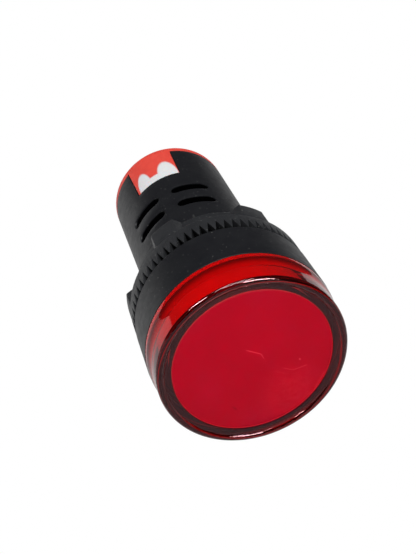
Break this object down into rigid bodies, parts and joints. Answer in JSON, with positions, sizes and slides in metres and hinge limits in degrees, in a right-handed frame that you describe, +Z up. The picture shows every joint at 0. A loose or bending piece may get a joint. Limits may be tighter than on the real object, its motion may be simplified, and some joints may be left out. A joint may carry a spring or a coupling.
{
  "type": "panel indicator lamp",
  "caption": "Round panel indicator lamp: clear red lens on a black bezel, toothed lock nut, vented barrel and a red rear base with screw terminals.",
  "frame": {"origin": "centre of the bezel's back face, on the barrel's axis, where the bezel seats on the panel", "axes": "-Y towards the lens, +Y towards the screw terminals along the barrel's axis, +Z up; the keying flat, tab and vents lie 26.2 degrees from +Z towards -X"},
  "size_m": [0.028, 0.053, 0.028],
  "materials": {
    "black_housing": "fine satin moulding",
    "black_nut": "fine satin moulding",
    "red_lens": "clear polished",
    "red_diffuser": "translucent satin",
    "white_board": "white solder mask",
    "green_board": "green solder mask",
    "light_chip": "moulded",
    "dark_component": "moulded",
    "tinned_wire": "tinned",
    "gasket_rubber": "moulded",
    "capacitor_case": "moulded",
    "capacitor_sleeve": "shrunk sleeve",
    "resistor_body": "lacquered",
    "varistor_body": "dipped",
    "diode_body": "clear",
    "red_base": "satin moulding",
    "brass_strip": "stamped",
    "plated_steel": "bright zinc"
  },
  "bodies": {
    "lamp": {"housing": "black_housing", "lamp_board": "white_board", "led_chips": "light_chip", "led_resistors": "dark_component", "lead_pins": "tinned_wire", "solder_fillets": "tinned_wire", "driver_board": "green_board", "film_capacitor": "capacitor_case", "smoothing_capacitor": "capacitor_sleeve", "bridge_rectifier": "dark_component", "bleed_resistor": "resistor_body", "varistor": "varistor_body", "zener_diode": "diode_body", "terminal_base": "red_base", "terminal_strip_left": "brass_strip", "terminal_strip_right": "brass_strip"},
    "lens": {"lens_cap": "red_lens", "diffuser": "red_diffuser"},
    "gasket": {"panel_gasket": "gasket_rubber"},
    "nut": {"lock_nut": "black_nut"},
    "clamp_left": {"clamp_plate_left": "plated_steel"},
    "clamp_right": {"clamp_plate_right": "plated_steel"},
    "screw_left": {"terminal_screw_left": "plated_steel"},
    "screw_right": {"terminal_screw_right": "plated_steel"}
  },
  "joints": [
    {"name": "lens_pull", "type": "slide", "parent": "lamp", "child": "lens", "axis": [0, -1, 0], "range_m": [0, 0.012]},
    {"name": "gasket_slide", "type": "slide", "parent": "lamp", "child": "gasket", "axis": [0, 1, 0], "range_m": [0, 0.042]},
    {"name": "nut_turn", "type": "hinge", "parent": "gasket", "child": "nut", "pos_m": [0, 0.004, 0], "axis": [0, 1, 0], "range_deg": [0, 10085]},
    {"name": "clamp_left_lift", "type": "slide", "parent": "lamp", "child": "clamp_left", "axis": [0, 1, 0], "range_m": [0, 0.003]},
    {"name": "screw_left_turn", "type": "hinge", "parent": "clamp_left", "child": "screw_left", "pos_m": [-0.00341, 0.0357, -0.00168], "axis": [0, 1, 0], "range_deg": [0, 2165]},
    {"name": "clamp_right_lift", "type": "slide", "parent": "lamp", "child": "clamp_right", "axis": [0, 1, 0], "range_m": [0, 0.003]},
    {"name": "screw_right_turn", "type": "hinge", "parent": "clamp_right", "child": "screw_right", "pos_m": [0.00341, 0.0357, 0.00168], "axis": [0, 1, 0], "range_deg": [0, 2165]}
  ],
  "couplings": [
    {"joint": "nut_turn", "follows": "gasket_slide", "rad_per_m": 4188.8},
    {"joint": "screw_left_turn", "follows": "clamp_left_lift", "rad_per_m": 12566},
    {"joint": "screw_right_turn", "follows": "clamp_right_lift", "rad_per_m": 12566}
  ]
}
